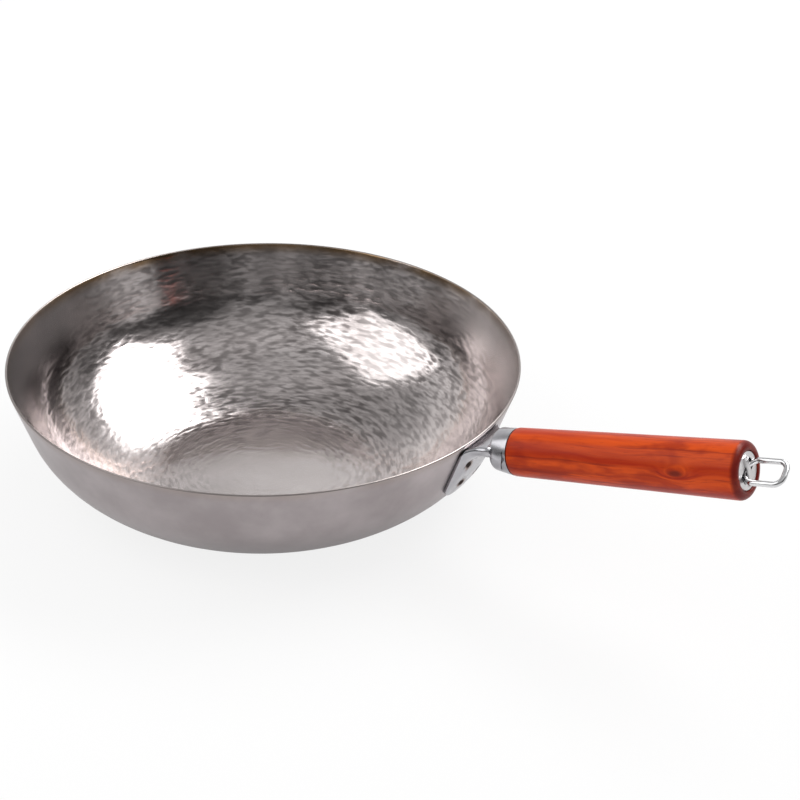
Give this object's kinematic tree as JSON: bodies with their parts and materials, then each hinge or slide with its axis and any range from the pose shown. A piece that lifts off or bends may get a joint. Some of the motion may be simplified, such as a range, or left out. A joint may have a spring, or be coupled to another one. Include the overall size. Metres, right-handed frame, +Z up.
{
  "type": "wok",
  "caption": "Wide hammered titanium wok with a flat base, a pressed steel handle bracket, a round wooden grip rising from the rim and a wire hanging ring at its end.",
  "frame": {"origin": "centre of the flat base, on the surface that the wok stands on", "axes": "+Z up; +X towards the handle, level; +Y completes the right-handed frame"},
  "size_m": [0.5298, 0.33, 0.1373],
  "materials": {
    "titanium": "satin, hammered inside, slight warm tint",
    "pressed_steel": "satin stainless sheet",
    "rosewood": "glossy lacquer on red-brown wood",
    "zinc_steel": "zinc-plated steel",
    "wire_steel": "polished steel wire"
  },
  "bodies": {
    "wok": {"wok_bowl": "titanium", "handle_bracket": "pressed_steel", "anchor_plate": "zinc_steel", "wooden_grip": "rosewood", "tie_bolt": "zinc_steel", "bolt_washer": "zinc_steel", "end_cup": "pressed_steel", "end_plate": "pressed_steel"},
    "ring": {"hanging_ring": "wire_steel"}
  },
  "joints": [
    {"name": "ring_swing", "type": "hinge", "parent": "wok", "child": "ring", "pos_m": [0.33732, 0, 0.12051], "axis": [-0.1269, 0.866, 0.4836], "range_deg": [-25, 25]}
  ]
}
